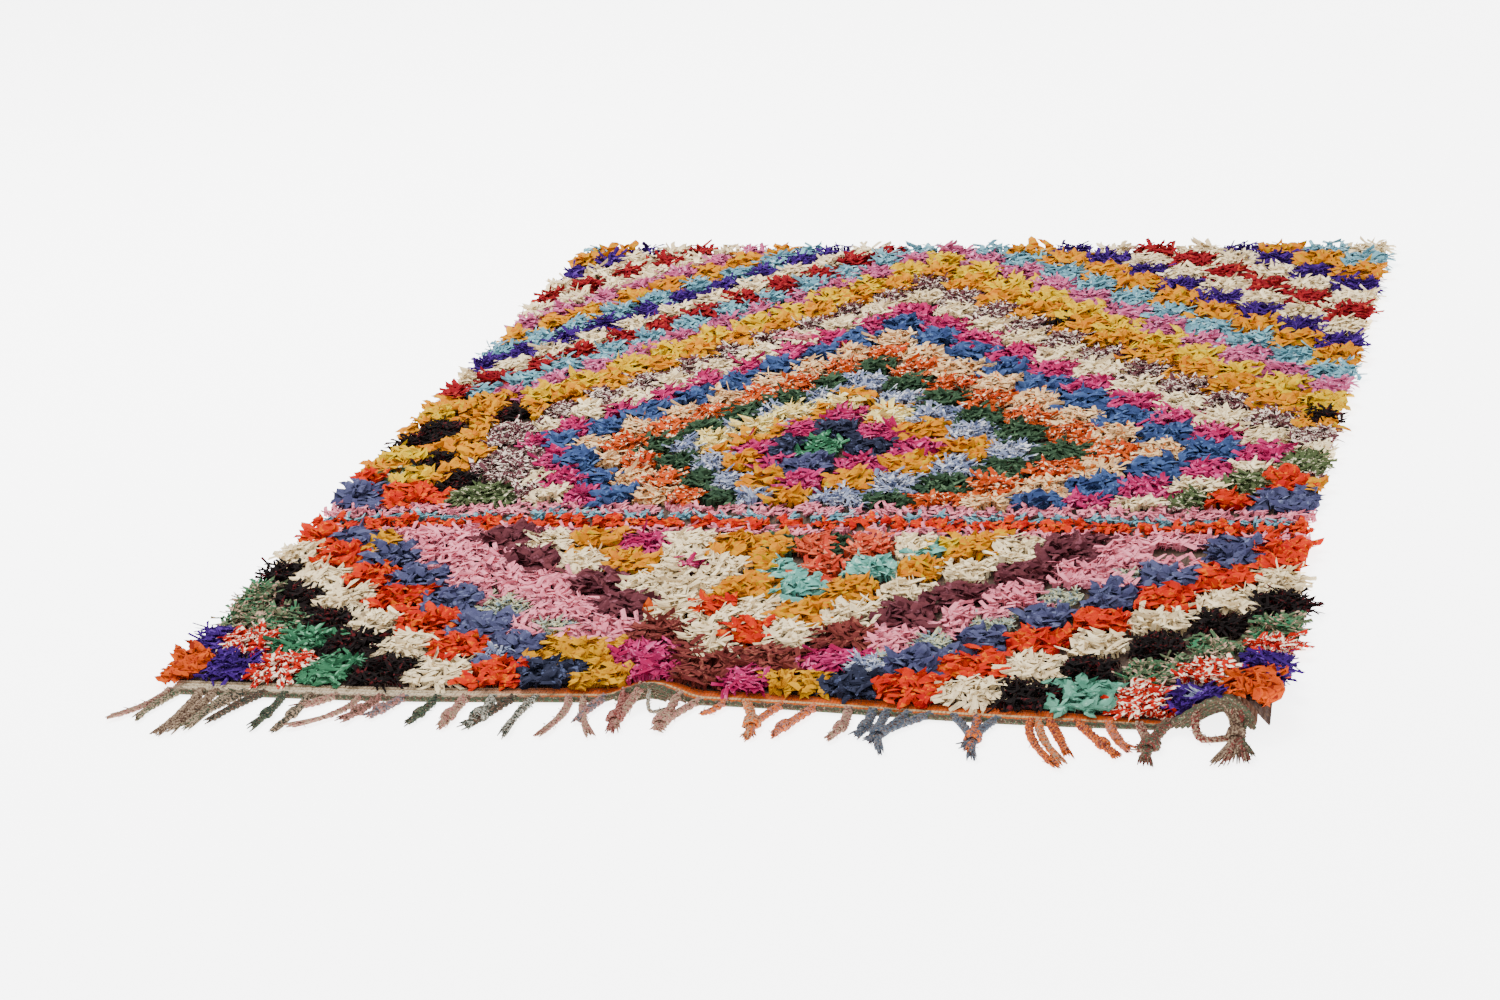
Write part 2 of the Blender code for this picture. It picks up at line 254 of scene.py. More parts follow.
# Tufts of a block gather towards its middle and lean outwards from it
LEAN_MOST = 0.30
LEAN_FULL = 0.040
GATHER = 0.13
FAN_SPREAD = 3.6
CREST_GROWS = 1.16
FLANK_MORE = 2.5
EDGE_SINKS = 0.38
NARROW_SIZE = 0.74
FLAT_SIZE = 0.72
# The ground reaches past the edge knots partly to carry them and partly so that its dark tone shows between
# the edge tufts as painted shade
GROUND_OVER = 0.010
LEFT_OVER = 0.012
RIGHT_OVER = 0.009
RIGHT_OVER_FROM = -0.865
RIM_WIDE = 0.022
CORNER_X = 0.722
CORNER_Y = FRONT + 0.020

# Zones of the pile, each a piece, by distance along the rug
ZONES = [-0.960, -0.59, -0.22, 0.15, 0.54, 0.945]

# Strands of the fringe: root across, then the knot's and the tip's place across and before the
# edge, width, size of the knot (strands that meet share one) and yarns
Strand = namedtuple("Strand", "root knot_x knot_y tip_x tip_y wide knot first second")
STRANDS = [
    Strand(-.732, -.748, .055, -.779, .090, .010, 0, "beige", "pink"),
    Strand(-.712, -.734, .058, -.741, .090, .010, 0, "green", "beige"),
    Strand(-.685, -.683, .072, -.690, .130, .013, 0, "beige", "brown"),
    Strand(-.664, -.668, .070, -.677, .123, .013, 0, "beige", "brown"),
    Strand(-.640, -.650, .064, -.661, .112, .013, 0, "beige", "green"),
    Strand(-.618, -.644, .048, -.654, .076, .013, 0, "dark_green", "beige"),
    Strand(-.590, -.618, .048, -.634, .090, .012, 0, "dark_green", "brown"),
    Strand(-.562, -.561, .064, -.567, .102, .011, 1, "dark_green", "green"),
    Strand(-.527, -.525, .062, -.534, .105, .011, 1, "dark_green", "beige"),
    Strand(-.484, -.512, .028, -.530, .042, .011, 0, "pink", "beige"),
    Strand(-.452, -.473, .060, -.515, .092, .009, 0, "pink", "beige"),
    Strand(-.422, -.437, .044, -.450, .071, .012, 1, "pink", "brown"),
    Strand(-.388, -.408, .038, -.418, .057, .012, 1, "grey", "pink"),
    Strand(-.343, -.350, .044, -.356, .069, .011, 1, "dark_green", "green"),
    Strand(-.304, -.307, .048, -.309, .075, .013, 1, "pink", "beige"),
    Strand(-.268, -.265, .046, -.276, .073, .013, 2, "dark_green", "white"),
    Strand(-.238, -.261, .045, -.270, .064, .012, 0, "dark_green", "brown"),
    Strand(-.207, -.216, .034, -.216, .090, .011, 0, "dark_green", "white"),
    Strand(-.164, -.157, .038, -.169, .086, .011, 0, "pink", "beige"),
    Strand(-.142, -.124, .036, -.100, .080, .010, 0, "pink", "beige"),
    Strand(-.112, -.127, .016, -.130, .047, .012, 0, "pink", "grey"),
    Strand(-.084, -.081, .036, -.079, .068, .012, 2, "pink", "brick"),
    Strand(-.059, -.077, .034, -.074, .062, .012, 0, "pink", "beige"),
    Strand(-.050, -.040, .010, -.024, .004, .005, 0, "white", "beige"),
    Strand(-.012, -.017, .038, -.020, .057, .012, 2, "pink", "beige"),
    Strand(.017, -.013, .038, -.009, .056, .011, 0, "pink", "beige"),
    Strand(.052, .038, .002, .029, .007, .009, 0, "orange", "pink"),
    Strand(.078, .103, .036, .104, .070, .013, 2, "orange", "beige"),
    Strand(.130, .106, .035, .111, .064, .011, 0, "orange", "pink"),
    Strand(.174, .145, .038, .137, .060, .012, 1, "pink", "orange"),
    Strand(.216, .219, .034, .209, .062, .012, 1, "pink", "beige"),
    Strand(.249, .250, .030, .244, .052, .012, 1, "blue", "grey"),
    Strand(.269, .271, .045, .283, .092, .012, 2, "blue", "grey"),
    Strand(.297, .273, .044, .262, .060, .011, 0, "blue", "grey"),
    Strand(.327, .274, .043, .267, .068, .011, 0, "blue", "grey"),
    Strand(.355, .390, .048, .384, .068, .011, 0, "blue", "grey"),
    Strand(.387, .393, .050, .394, .080, .012, 2, "blue", "orange"),
    Strand(.414, .395, .050, .402, .098, .011, 0, "blue", "grey"),
    Strand(.457, .472, .054, .509, .112, .011, 0, "orange", "brick"),
    Strand(.466, .485, .050, .514, .100, .011, 0, "orange", "beige"),
    Strand(.478, .502, .042, .517, .080, .012, 0, "orange", "brick"),
    Strand(.513, .557, .050, .579, .076, .012, 1, "orange", "brick"),
    Strand(.553, .576, .040, .590, .057, .012, 0, "orange", "pink"),
    Strand(.591, .609, .046, .598, .053, .012, 0, "brick", "beige"),
    Strand(.630, .613, .050, .614, .092, .014, 2, "brick", "green"),
    Strand(.690, .713, .014, .698, .084, .013, 2, "brown", "beige"),
    Strand(.722, .717, .014, .733, .073, .013, 0, "brown", "brick"),
    Strand(.664, .678, .024, .710, .012, .010, 0, "brick", "beige"),
    Strand(.703, .714, .013, .708, .078, .012, 0, "brick", "beige"),
    Strand(.712, .718, .014, .726, .072, .012, 0, "brown", "beige"),
    Strand(.731, .720, .013, .737, .064, .011, 0, "green", "brown"),
]
STRAND_HIGH = 0.0105
STRAND_GROWS = 1.22
STRAND_DROP_SHARE = 0.62
STRAND_STEPS = 24
KNOT_SHARE = 0.60
KNOT_TURNS = 2.5
PLY_COUNT = 3
PLY_TWIST = 42.0
TAIL_YARNS = 11
FUZZ_HAIRS = 16
RIM_STEPS = 420
RIM_TWIST = 60
RIM_RADIUS = 0.0030
# Dark cords stacked under the band's raised stretches: partly the rug's underside, partly painted shade in
# the opening under the arch
SELVAGE_SHADE_CORDS = 4
SELVAGE_SHADE_STEP = 0.0045
YARNS = {
    "beige": (.67, .58, .49), "brown": (.38, .29, .24), "green": (.29, .35, .27),
    "dark_green": (.18, .23, .20), "white": (.70, .69, .64), "pink": (.69, .47, .44),
    "grey": (.42, .44, .47), "blue": (.32, .36, .42), "orange": (.88, .45, .22),
    "brick": (.50, .23, .22),
}


def linear(colour):
    """Cloth colour, scene-linear RGBA, that a bright room and soft film show as this tone."""
    flat = [((c + 0.055) / 1.055) ** 2.4 if c > 0.04045 else c / 12.92 for c in colour]
    bright = TONE_CREST - sum(flat) / 3
    deep = [TONE_GAIN * c ** TONE_POWER / bright for c in flat]
    grey = sum(deep) / 3
    return [min(max(grey + TONE_KEEP * (c - grey), TONE_LEAST), TONE_MOST) for c in deep] + [1.0]


def blend(table, key, value, at):
    """Value at a place in a table whose rows rise in the key column."""
    return float(np.interp(at, [getattr(row, key) for row in table], [getattr(row, value) for row in table]))


def bell(share):
    """One at the crest, level and zero from one outwards."""
    return math.cos(math.pi / 2 * min(abs(share), 1.0)) ** 2


def lift(x, y):
    """Height of the rug's underside above the floor."""
    height = 0.0
    for wave in WAVES:
        turn = math.radians(wave.heading)
        along = (x - wave.x) * math.cos(turn) + (y - wave.y) * math.sin(turn)
        aside = (x - wave.x) * math.sin(turn) - (y - wave.y) * math.cos(turn)
        width = wave.right if aside > 0 else wave.left
        height += wave.high * bell(aside / width) * bell(max(along, 0.0) / wave.back)
    return height


def slope(x, y):
    """Upward normal of the underside."""
    step = 0.004
    across = (lift(x + step, y) - lift(x - step, y)) / (2 * step)
    along = (lift(x, y + step) - lift(x, y - step)) / (2 * step)
    return Vector((-across, -along, 1.0)).normalized()


def edge_back(x):
    """How far the front edge lies back from its straight line."""
    share = x / (EDGES[0].right - EDGES[0].left) + 0.5
    skew = EDGE_LEFT_BACK * (1 - share) + EDGE_RIGHT_BACK * share
    return skew + BOW_BACK * bell(x / BOW_HALF)


def band_deep(x):
    """Depth of the woven band, which narrows towards its lifted corner."""
    share = min(max((x - BAND_TAPER_FROM) / BAND_TAPER_WIDE, 0.0), 1.0)
    return BAND_DEEP * (1 - (1 - BAND_END_SHARE) * share * share * (3 - 2 * share))


def seen_place(x, y):
    """Place on the plane of the pile's top that a tuft hides from the camera."""
    height = lift(x, y) + PILE_TOP
    share = (height - PILE_TOP) / (CAMERA_PLACE[2] - height)
    seen_x = x + (x - CAMERA_PLACE[0]) * share
    seen_y = y + (y - CAMERA_PLACE[1]) * share
    return seen_x, seen_y - FRONT


def inside(patch, x, y):
    """True in the patch's rounded block."""
    return ((x - patch.x) / patch.wide) ** 4 + ((y - patch.y) / patch.high) ** 4 < 1


def lower_cloth(x, y):
    """Cloth of the lower panel, a half lozenge of stepped rings, and the place in its block."""
    row = min(max(int((y - 0.0365) / LOWER_ROW), 0), LOWER_ROWS - 1)
    place = LOWER_START + LOWER_ROW * row - abs(x + 0.006 * min(row, 1))
    widths = [ring.wide for ring in LOWER_RINGS]
    side = 1 if x > 0 else -1
    widths[PINK_RING] += PINK_GROWS.get((side, row), 0.0)
    ring = 0
    while ring < len(LOWER_RINGS) - 1 and place > widths[ring]:
        place -= widths[ring]
        ring += 1
    middle = (side * (widths[ring] / 2 - place), y - 0.0365 - LOWER_ROW * (row + 0.5))
    for swap in SWAPS:
        if swap.low <= row <= swap.high and swap.side in (0, side) and swap.first <= ring <= swap.last:
            return swap.name, middle
    return LOWER_RINGS[ring].name, middle


def upper_cloth(x, y):
    """Cloth of the upper panel, a lozenge of stepped rings, and the place in its block."""
    row = round((y - UPPER_MIDDLE[1]) / UPPER_PITCH)
    aside = x - UPPER_MIDDLE[0]
    stretch = UPPER_RIGHT if aside > 0 else UPPER_LEFT
    far = abs(row) + abs(aside) * stretch / UPPER_PITCH + 0.5
    ring = int(far)
    side = 1 if aside > 0 else -1
    middle = (side * (far - ring - 0.5) * UPPER_PITCH / stretch, y - UPPER_MIDDLE[1] - UPPER_PITCH * row)
    if ring < len(UPPER_RINGS):
        return UPPER_RINGS[ring], middle
    more = RIGHT_RINGS if aside > 0 else LEFT_RINGS
    return more[min(ring - len(UPPER_RINGS), len(more) - 1)], middle


def cloth_at(x, y, rng):
    """Rag cloth at a knot or nothing where it is worn off, the knot's lean and its size."""
    seen_x, seen_y = seen_place(x, y)
    seen_x += rng.normal(0, 0.003)
    seen_y += rng.normal(0, 0.003)
    if inside(WORN, seen_x, seen_y):
        return "", (0, 0), 1.0
    above = seen_y - blend(BAND_LINE, "x", "y", seen_x) - BAND_START
    if above < 0:
        base, middle = lower_cloth(seen_x, seen_y)
    else:
        for row in BAND_ROWS:
            above -= row.wide
            if above < 0:
                return row.name, (rng.choice((-0.04, 0.04)), 0.0), NARROW_SIZE
        base, middle = upper_cloth(seen_x, seen_y)
    if inside(YELLOW_GROUND, seen_x, seen_y):
        base = YELLOW_GROUND.name
    for patch in PATCHES:
        if inside(patch, seen_x, seen_y):
            base, middle = patch.name, (seen_x - patch.x, seen_y - patch.y)
    return base, middle, FLAT_SIZE if base == "pale_knit" else 1.0


def new_material(name):
    """Material with an empty node tree but for its Principled shader."""
    material = bpy.data.materials.new(name)
    material.use_nodes = True
    return material, material.node_tree.nodes, material.node_tree.links


def stepped_ramp(nodes, colours):
    """Ramp that holds one colour in each of equal steps."""
    ramp = nodes.new("ShaderNodeValToRGB")
    ramp.color_ramp.interpolation = "CONSTANT"
    elements = ramp.color_ramp.elements
    elements.remove(elements[1])
    for index, colour in enumerate(colours):
        element = elements[0] if index == 0 else elements.new(index / len(colours))
        element.color = colour
    return ramp


def mixed(nodes, links, factor, first, second):
    """Colour mix of two outputs or values by a factor output."""
    mix = nodes.new("ShaderNodeMix")
    mix.data_type = "RGBA"
    links.new(factor, mix.inputs["Factor"])
    for socket, value in ((mix.inputs[6], first), (mix.inputs[7], second)):
        if isinstance(value, bpy.types.NodeSocket):
            links.new(value, socket)
        else:
            socket.default_value = value
    return mix.outputs[2]


def maths(nodes, links, kind, first, second):
    """Output of a maths node of two outputs or numbers."""
    node = nodes.new("ShaderNodeMath")
    node.operation = kind
    for socket, value in zip(node.inputs, (first, second)):
        if isinstance(value, bpy.types.NodeSocket):
            links.new(value, socket)
        else:
            socket.default_value = value
    return node.outputs[0]


def noise_of(nodes, links, vector, scale, detail=2.0, out="Fac"):
    """Output of a noise texture read at a vector."""
    node = nodes.new("ShaderNodeTexNoise")
    node.inputs["Scale"].default_value = scale
    node.inputs["Detail"].default_value = detail
    links.new(vector, node.inputs["Vector"])
    return node.outputs[out]


def rag_material():
    """All rag cloths in one: the map's steps across pick the cloth, and it is in metres."""
    material, nodes, links = new_material("rag_cloths")
    shader = nodes["Principled BSDF"]
    shader.inputs["Roughness"].default_value = 0.95
    shader.inputs["Specular IOR Level"].default_value = 0.06
    place = nodes.new("ShaderNodeUVMap")
    place.uv_map = BAKE_MAP
    split = nodes.new("ShaderNodeSeparateXYZ")
    links.new(place.outputs[0], split.inputs[0])
    tones = [
        [linear(rag.tone) for rag in RAGS],
        [linear(rag.second) for rag in RAGS],
        [linear(rag.fleck) for rag in RAGS],
        [(rag.share, rag.share, rag.share, 1.0) for rag in RAGS],
    ]
    ramps = []
    for colours in tones:
        ramp = stepped_ramp(nodes, colours)
        links.new(split.outputs["X"], ramp.inputs[0])
        ramps.append(ramp.outputs[0])
    strip = noise_of(nodes, links, place.outputs[0], 34.0, 1.0)
    strip = maths(nodes, links, "MULTIPLY_ADD", strip, 3.2)
    strip.node.inputs[2].default_value = -1.1
    strip.node.use_clamp = True
    body = mixed(nodes, links, strip, ramps[0], ramps[1])
    fleck = noise_of(nodes, links, place.outputs[0], 95.0, 2.0)
    fleck = maths(nodes, links, "MULTIPLY_ADD", fleck, 4.5)
    fleck.node.inputs[2].default_value = -2.75
    chance = maths(nodes, links, "ADD", fleck, ramps[3])
    chance = maths(nodes, links, "MULTIPLY", chance, 6.0)
    chance.node.use_clamp = True
    body = mixed(nodes, links, chance, body, ramps[2])
    grain = noise_of(nodes, links, place.outputs[0], 900.0, 3.0)
    shade = maths(nodes, links, "MULTIPLY_ADD", grain, 0.5)
    shade.node.inputs[2].default_value = 0.75
    scaled = nodes.new("ShaderNodeVectorMath")
    scaled.operation = "SCALE"
    links.new(body, scaled.inputs[0])
    links.new(shade, scaled.inputs["Scale"])
    links.new(scaled.outputs[0], shader.inputs["Base Color"])
    bump = nodes.new("ShaderNodeBump")
    bump.inputs["Strength"].default_value = 0.5
    bump.inputs["Distance"].default_value = 0.0012
    links.new(noise_of(nodes, links, place.outputs[0], 380.0, 3.0), bump.inputs["Height"])
    links.new(bump.outputs[0], shader.inputs["Normal"])
    return material


def strip_mesh(points, faces, corners, cut, rng, lean):
    """One end of rag: a folded strip, closed, that rises from its knot and falls over."""
    long = cut.long * rng.uniform(0.70, 1.15)
    wide = cut.wide * rng.uniform(0.70, 1.25)
    rise = RISE * rng.uniform(0.55, 1.12)
    heading = lean + rng.normal(0, 0.45)
    tilt = rng.uniform(0.92, 1.38)
    bend = rng.uniform(0.0, 0.7)
    swirl = rng.normal(0, 0.5)
    roll = rng.normal(0, 0.45)
    twist = rng.normal(0, 0.7)
    fold = rng.uniform(0.10, 0.28)
    ragged = rng.uniform(0.50, 1.10)
    falls = cut.sections - 2
    lengths = [0.0, rise] + [long / falls] * falls
    place = Vector((rng.normal(0, 0.004), rng.normal(0, 0.004), 0.0))
    first = len(points)
    marks = []
    for section, step in enumerate(lengths):
        share = max(0.0, (section - 1) / falls)
        angle = tilt + bend * share if section > 1 else 0.25 * rng.uniform(-1, 1)
        side = heading + swirl * share
        ahead = Vector((math.cos(side) * math.sin(angle), math.sin(side) * math.sin(angle), math.cos(angle)))
        place = place + ahead * step
        marks.append(sum(lengths[:section + 1]))
        across = Vector((-math.sin(side), math.cos(side), 0.0))
        across = Matrix.Rotation(roll + twist * share, 3, ahead) @ across
        out = across.cross(ahead)
        body = (0.6, 1.0, 1.0)[min(section, 2)] if section < cut.sections - 1 else ragged
        half = wide * body * 0.5
        crumple = rng.uniform(0.75, 1.25, 3)
        ridge = out * half * 2 * fold * crumple[2] + across * half * rng.uniform(-0.5, 0.5)
        slant = ahead * wide * 0.55 * rng.uniform(-1, 1) * (section == cut.sections - 1)
        points.append(place - across * half * crumple[0] + slant)
        points.append(place + across * half * crumple[1] - slant)
        points.append(place - ridge)
    widths = (0.0, wide, wide / 2, 0.0)
    for section in range(cut.sections - 1):
        low = first + 3 * section
        for corner in range(3):
            after = (corner + 1) % 3
            faces.append((low + corner, low + after, low + 3 + after, low + 3 + corner))
            left, right = widths[corner], widths[corner + 1]
            near, far = marks[section], marks[section + 1]
            corners.append([(left, near), (right, near), (right, far), (left, far)])
    last = first + 3 * (cut.sections - 1)
    faces.append((first + 2, first + 1, first))
    corners.append([(wide, 0.0), (wide / 2, 0.0), (0.0, 0.0)])
    faces.append((last, last + 1, last + 2))
    corners.append([(0.0, marks[-1]), (wide, marks[-1]), (wide / 2, marks[-1])])


def knot_object(name, cut, rng):
    """One rag knot with its cut ends."""
    points, faces, corners = [], [], []
    for strip in range(cut.strips):
        lean = FAN_SPREAD * ((strip + 0.5) / cut.strips - 0.5)
        strip_mesh(points, faces, corners, cut, rng, lean)
    mesh = bpy.data.meshes.new(name)
    mesh.from_pydata(points, [], faces)
    layer = mesh.uv_layers.new(name=BAKE_MAP)
    flat = [value for face in corners for corner in face for value in corner]
    layer.data.foreach_set("uv", flat)
    mesh.update()
    return bpy.data.objects.new(name, mesh)


def tuft_tree(kinds, material):
    """Node tree that sets a rag knot on each point and moves its map to the knot's cloth."""
    tree = bpy.data.node_groups.new("rag_tufts", "GeometryNodeTree")
    tree.interface.new_socket("Geometry", in_out="INPUT", socket_type="NodeSocketGeometry")
    tree.interface.new_socket("Knots", in_out="INPUT", socket_type="NodeSocketCollection")
    tree.interface.new_socket("Cloth", in_out="INPUT", socket_type="NodeSocketMaterial")
    tree.interface.new_socket("Geometry", in_out="OUTPUT", socket_type="NodeSocketGeometry")
    nodes, links = tree.nodes, tree.links

    def attribute(name, kind):
        node = nodes.new("GeometryNodeInputNamedAttribute")
        node.data_type = kind
        node.inputs["Name"].default_value = name
        return node.outputs["Attribute"]

    given = nodes.new("NodeGroupInput")
    result = nodes.new("NodeGroupOutput")
    knots = nodes.new("GeometryNodeCollectionInfo")
    knots.inputs["Separate Children"].default_value = True
    knots.inputs["Reset Children"].default_value = True
    links.new(given.outputs["Knots"], knots.inputs["Collection"])
    spread = nodes.new("GeometryNodeInstanceOnPoints")
    spread.inputs["Pick Instance"].default_value = True
    links.new(given.outputs["Geometry"], spread.inputs["Points"])
    links.new(knots.outputs[0], spread.inputs["Instance"])
    links.new(attribute("variant", "INT"), spread.inputs["Instance Index"])
    links.new(attribute("turn", "FLOAT_VECTOR"), spread.inputs["Rotation"])
    links.new(attribute("grow", "FLOAT_VECTOR"), spread.inputs["Scale"])
    real = nodes.new("GeometryNodeRealizeInstances")
    links.new(spread.outputs[0], real.inputs[0])
    spot = nodes.new("GeometryNodeInputPosition")
    split = nodes.new("ShaderNodeSeparateXYZ")
    links.new(spot.outputs[0], split.inputs[0])
    raised = maths(nodes, links, "MAXIMUM", split.outputs[2], 0.0008)
    joined = nodes.new("ShaderNodeCombineXYZ")
    links.new(split.outputs[0], joined.inputs[0])
    links.new(split.outputs[1], joined.inputs[1])
    links.new(raised, joined.inputs[2])
    rested = nodes.new("GeometryNodeSetPosition")
    links.new(real.outputs[0], rested.inputs["Geometry"])
    links.new(joined.outputs[0], rested.inputs["Position"])
    moved = nodes.new("ShaderNodeVectorMath")
    moved.operation = "ADD"
    links.new(attribute(BAKE_MAP, "FLOAT_VECTOR"), moved.inputs[0])
    links.new(attribute("cloth", "FLOAT_VECTOR"), moved.inputs[1])
    store = nodes.new("GeometryNodeStoreNamedAttribute")
    store.data_type = "FLOAT2"
    store.domain = "CORNER"
    store.inputs["Name"].default_value = BAKE_MAP
    links.new(rested.outputs[0], store.inputs["Geometry"])
    links.new(moved.outputs[0], store.inputs["Value"])
    last = store.outputs[0]
    for name in ("variant", "turn", "grow", "cloth"):
        drop = nodes.new("GeometryNodeRemoveAttribute")
        drop.inputs["Name"].default_value = name
        links.new(last, drop.inputs["Geometry"])
        last = drop.outputs[0]
    paint = nodes.new("GeometryNodeSetMaterial")
    links.new(last, paint.inputs["Geometry"])
    links.new(given.outputs["Cloth"], paint.inputs["Material"])
    links.new(paint.outputs[0], result.inputs[0])
    return tree


def set_input(modifier, name, value):
    """Sets a named input of a Geometry Nodes modifier."""
    for item in modifier.node_group.interface.items_tree:
        if item.item_type == "SOCKET" and item.in_out == "INPUT" and item.name == name:
            modifier[item.identifier] = value


def applied(solid):
    """The object's mesh with its modifiers' result in it."""
    graph = bpy.context.evaluated_depsgraph_get()
    mesh = bpy.data.meshes.new_from_object(solid.evaluated_get(graph))
    solid.modifiers.clear()
    old = solid.data
    solid.data = mesh
    mesh.name = solid.name
    bpy.data.meshes.remove(old)
    return solid


def placed(name, mesh):
    """New object, linked to the scene."""
    solid = bpy.data.objects.new(name, mesh)
    bpy.context.scene.collection.objects.link(solid)
    return solid


def knot_points(settings):
    """Knots of the whole rug: place, cloth, variant, turn and growth of each."""
    rng = np.random.default_rng(settings.seed)
    knots = []
    deep = FRONT + BAND_DEEP
    rows = round((FAR - deep) / settings.row_pitch)
    starts = {cut.name: index * VARIANTS for index, cut in enumerate(CUTS)}
    for row in range(rows + 1):
        y = deep + (FAR - deep) * row / rows
        left = blend(EDGES, "y", "left", y) - LEFT_OVER
        right = blend(EDGES, "y", "right", y) + RIGHT_OVER * (y > RIGHT_OVER_FROM)
        count = round((right - left) / settings.knot_pitch)
        for step in range(count + 1):
            x = left + (right - left) * (step + 0.5 * (row % 2) * (step < count)) / count
            x += rng.normal(0, 0.0016)
            near = FRONT + band_deep(x)
            here = near + (FAR - near) * row / rows + edge_back(x) * (1 - row / rows) ** 4
            here += rng.normal(0, 0.0018)
            name, middle, most = cloth_at(x, here, rng)
            if not name or (x > CORNER_X and here < CORNER_Y):
                continue
            rag = RAGS[RAG_INDEX[name]]
            up = slope(x, here)
            tip = up.to_track_quat("Z", "Y").to_matrix()
            middle = (min(max(middle[0], -LEAN_FULL), LEAN_FULL), middle[1])
            share = min(1.0, math.hypot(*middle) / LEAN_FULL)
            heading = math.atan2(middle[1], middle[0]) + rng.normal(0, 0.3 + 1.6 * (1 - share))
            fall = LEAN_MOST * share + rng.normal(0, 0.12)
            spin = Matrix.Rotation(heading, 3, "Z") @ Matrix.Rotation(fall, 3, "Y")
            turn = (tip @ spin).to_euler()
            size = most * rng.uniform(0.85, 1.10)
            high = size * (CREST_GROWS - EDGE_SINKS * share)
            x -= GATHER * middle[0]
            here -= GATHER * middle[1]
            copies = 1 + int(rng.random() < FLANK_MORE * (1 / up.z - 1))
            copies += int(min(x - left, right - x) < RIM_WIDE and rng.random() < 0.8)
            for copy in range(copies):
                cell = (RAG_INDEX[name] + rng.uniform(0.06, 0.30)) / len(RAGS)
                aside = copy * rng.uniform(-0.5, 0.5) * settings.knot_pitch
                spot = (x + aside, here, lift(x + aside, here) + 0.003)
                knots.append((
                    spot, starts[rag.cut] + int(rng.integers(VARIANTS)), tuple(turn),
                    (size, size, high), (cell, rng.uniform(0.0, 0.94), 0.0),
                ))
    return knots


def points_object(name, knots):
    """Loose points with the attributes that the tuft tree reads."""
    mesh = bpy.data.meshes.new(name)
    mesh.from_pydata([knot[0] for knot in knots], [], [])
    mesh.attributes.new("variant", "INT", "POINT").data.foreach_set("value", [k[1] for k in knots])
    for index, key in ((2, "turn"), (3, "grow"), (4, "cloth")):
        flat = np.array([knot[index] for knot in knots], float).ravel()
        mesh.attributes.new(key, "FLOAT_VECTOR", "POINT").data.foreach_set("vector", flat)
    return placed(name, mesh)


def woven_material(name, stripes, left_stripes, pitch):
    """Flat weave whose stripes run across the rug, with ribs at the weft's pitch."""
    material, nodes, links = new_material(name)
    shader = nodes["Principled BSDF"]
    shader.inputs["Roughness"].default_value = 0.92
    shader.inputs["Specular IOR Level"].default_value = 0.15
    place = nodes.new("ShaderNodeUVMap")
    place.uv_map = BAKE_MAP
    split = nodes.new("ShaderNodeSeparateXYZ")
    links.new(place.outputs[0], split.inputs[0])
    share = maths(nodes, links, "DIVIDE", split.outputs["Y"], BAND_DEEP)
    main = stepped_ramp(nodes, [linear(colour) for colour in stripes])
    links.new(share, main.inputs[0])
    colour = main.outputs[0]
    if left_stripes:
        corner = maths(nodes, links, "MULTIPLY_ADD", split.outputs["X"], 30.0)
        corner.node.inputs[2].default_value = -42.3
        corner.node.use_clamp = True
        colour = mixed(nodes, links, corner, colour, linear((.40, .28, .23)))
        left = stepped_ramp(nodes, [linear(colour) for colour in left_stripes])
        links.new(share, left.inputs[0])
        edge = maths(nodes, links, "MULTIPLY_ADD", split.outputs["X"], 6.0)
        edge.node.inputs[2].default_value = -2.4
        edge.node.use_clamp = True
        colour = mixed(nodes, links, edge, left.outputs[0], colour)
    fleck = noise_of(nodes, links, place.outputs[0], 260.0, 2.0)
    fleck = maths(nodes, links, "MULTIPLY_ADD", fleck, 4.0)
    fleck.node.inputs[2].default_value = -1.9
    fleck.node.use_clamp = True
    colour = mixed(nodes, links, fleck, colour, linear((.45, .36, .30)))
    links.new(colour, shader.inputs["Base Color"])
    rib = nodes.new("ShaderNodeTexWave")
    rib.bands_direction = "X"
    rib.inputs["Scale"].default_value = 1 / (pitch * 6.2832) * 2
    rib.inputs["Distortion"].default_value = 1.0
    links.new(place.outputs[0], rib.inputs["Vector"])
    bump = nodes.new("ShaderNodeBump")
    bump.inputs["Strength"].default_value = 0.7
    bump.inputs["Distance"].default_value = 0.0015
    links.new(rib.outputs["Fac"], bump.inputs["Height"])
    links.new(bump.outputs[0], shader.inputs["Normal"])
    return material


def cloth_grid(name, columns, rows, place_at, thick):
    """Closed sheet on a grid: points from a function of two shares, with a map in metres."""
    mesh = bmesh.new()
    bmesh.ops.create_grid(mesh, x_segments=columns, y_segments=rows, size=0.5)
    layer = mesh.loops.layers.uv.new(BAKE_MAP)
    for face in mesh.faces:
        for corner in face.loops:
            spot = place_at(corner.vert.co.x + 0.5, corner.vert.co.y + 0.5)
            corner[layer].uv = spot[1]
    for point in mesh.verts:
        point.co = place_at(point.co.x + 0.5, point.co.y + 0.5)[0]
    data = bpy.data.meshes.new(name)
    mesh.to_mesh(data)
    mesh.free()
    solid = placed(name, data)
    shell = solid.modifiers.new("thickness", "SOLIDIFY")
    shell.thickness = thick
    shell.offset = 1.0
    return applied(solid)


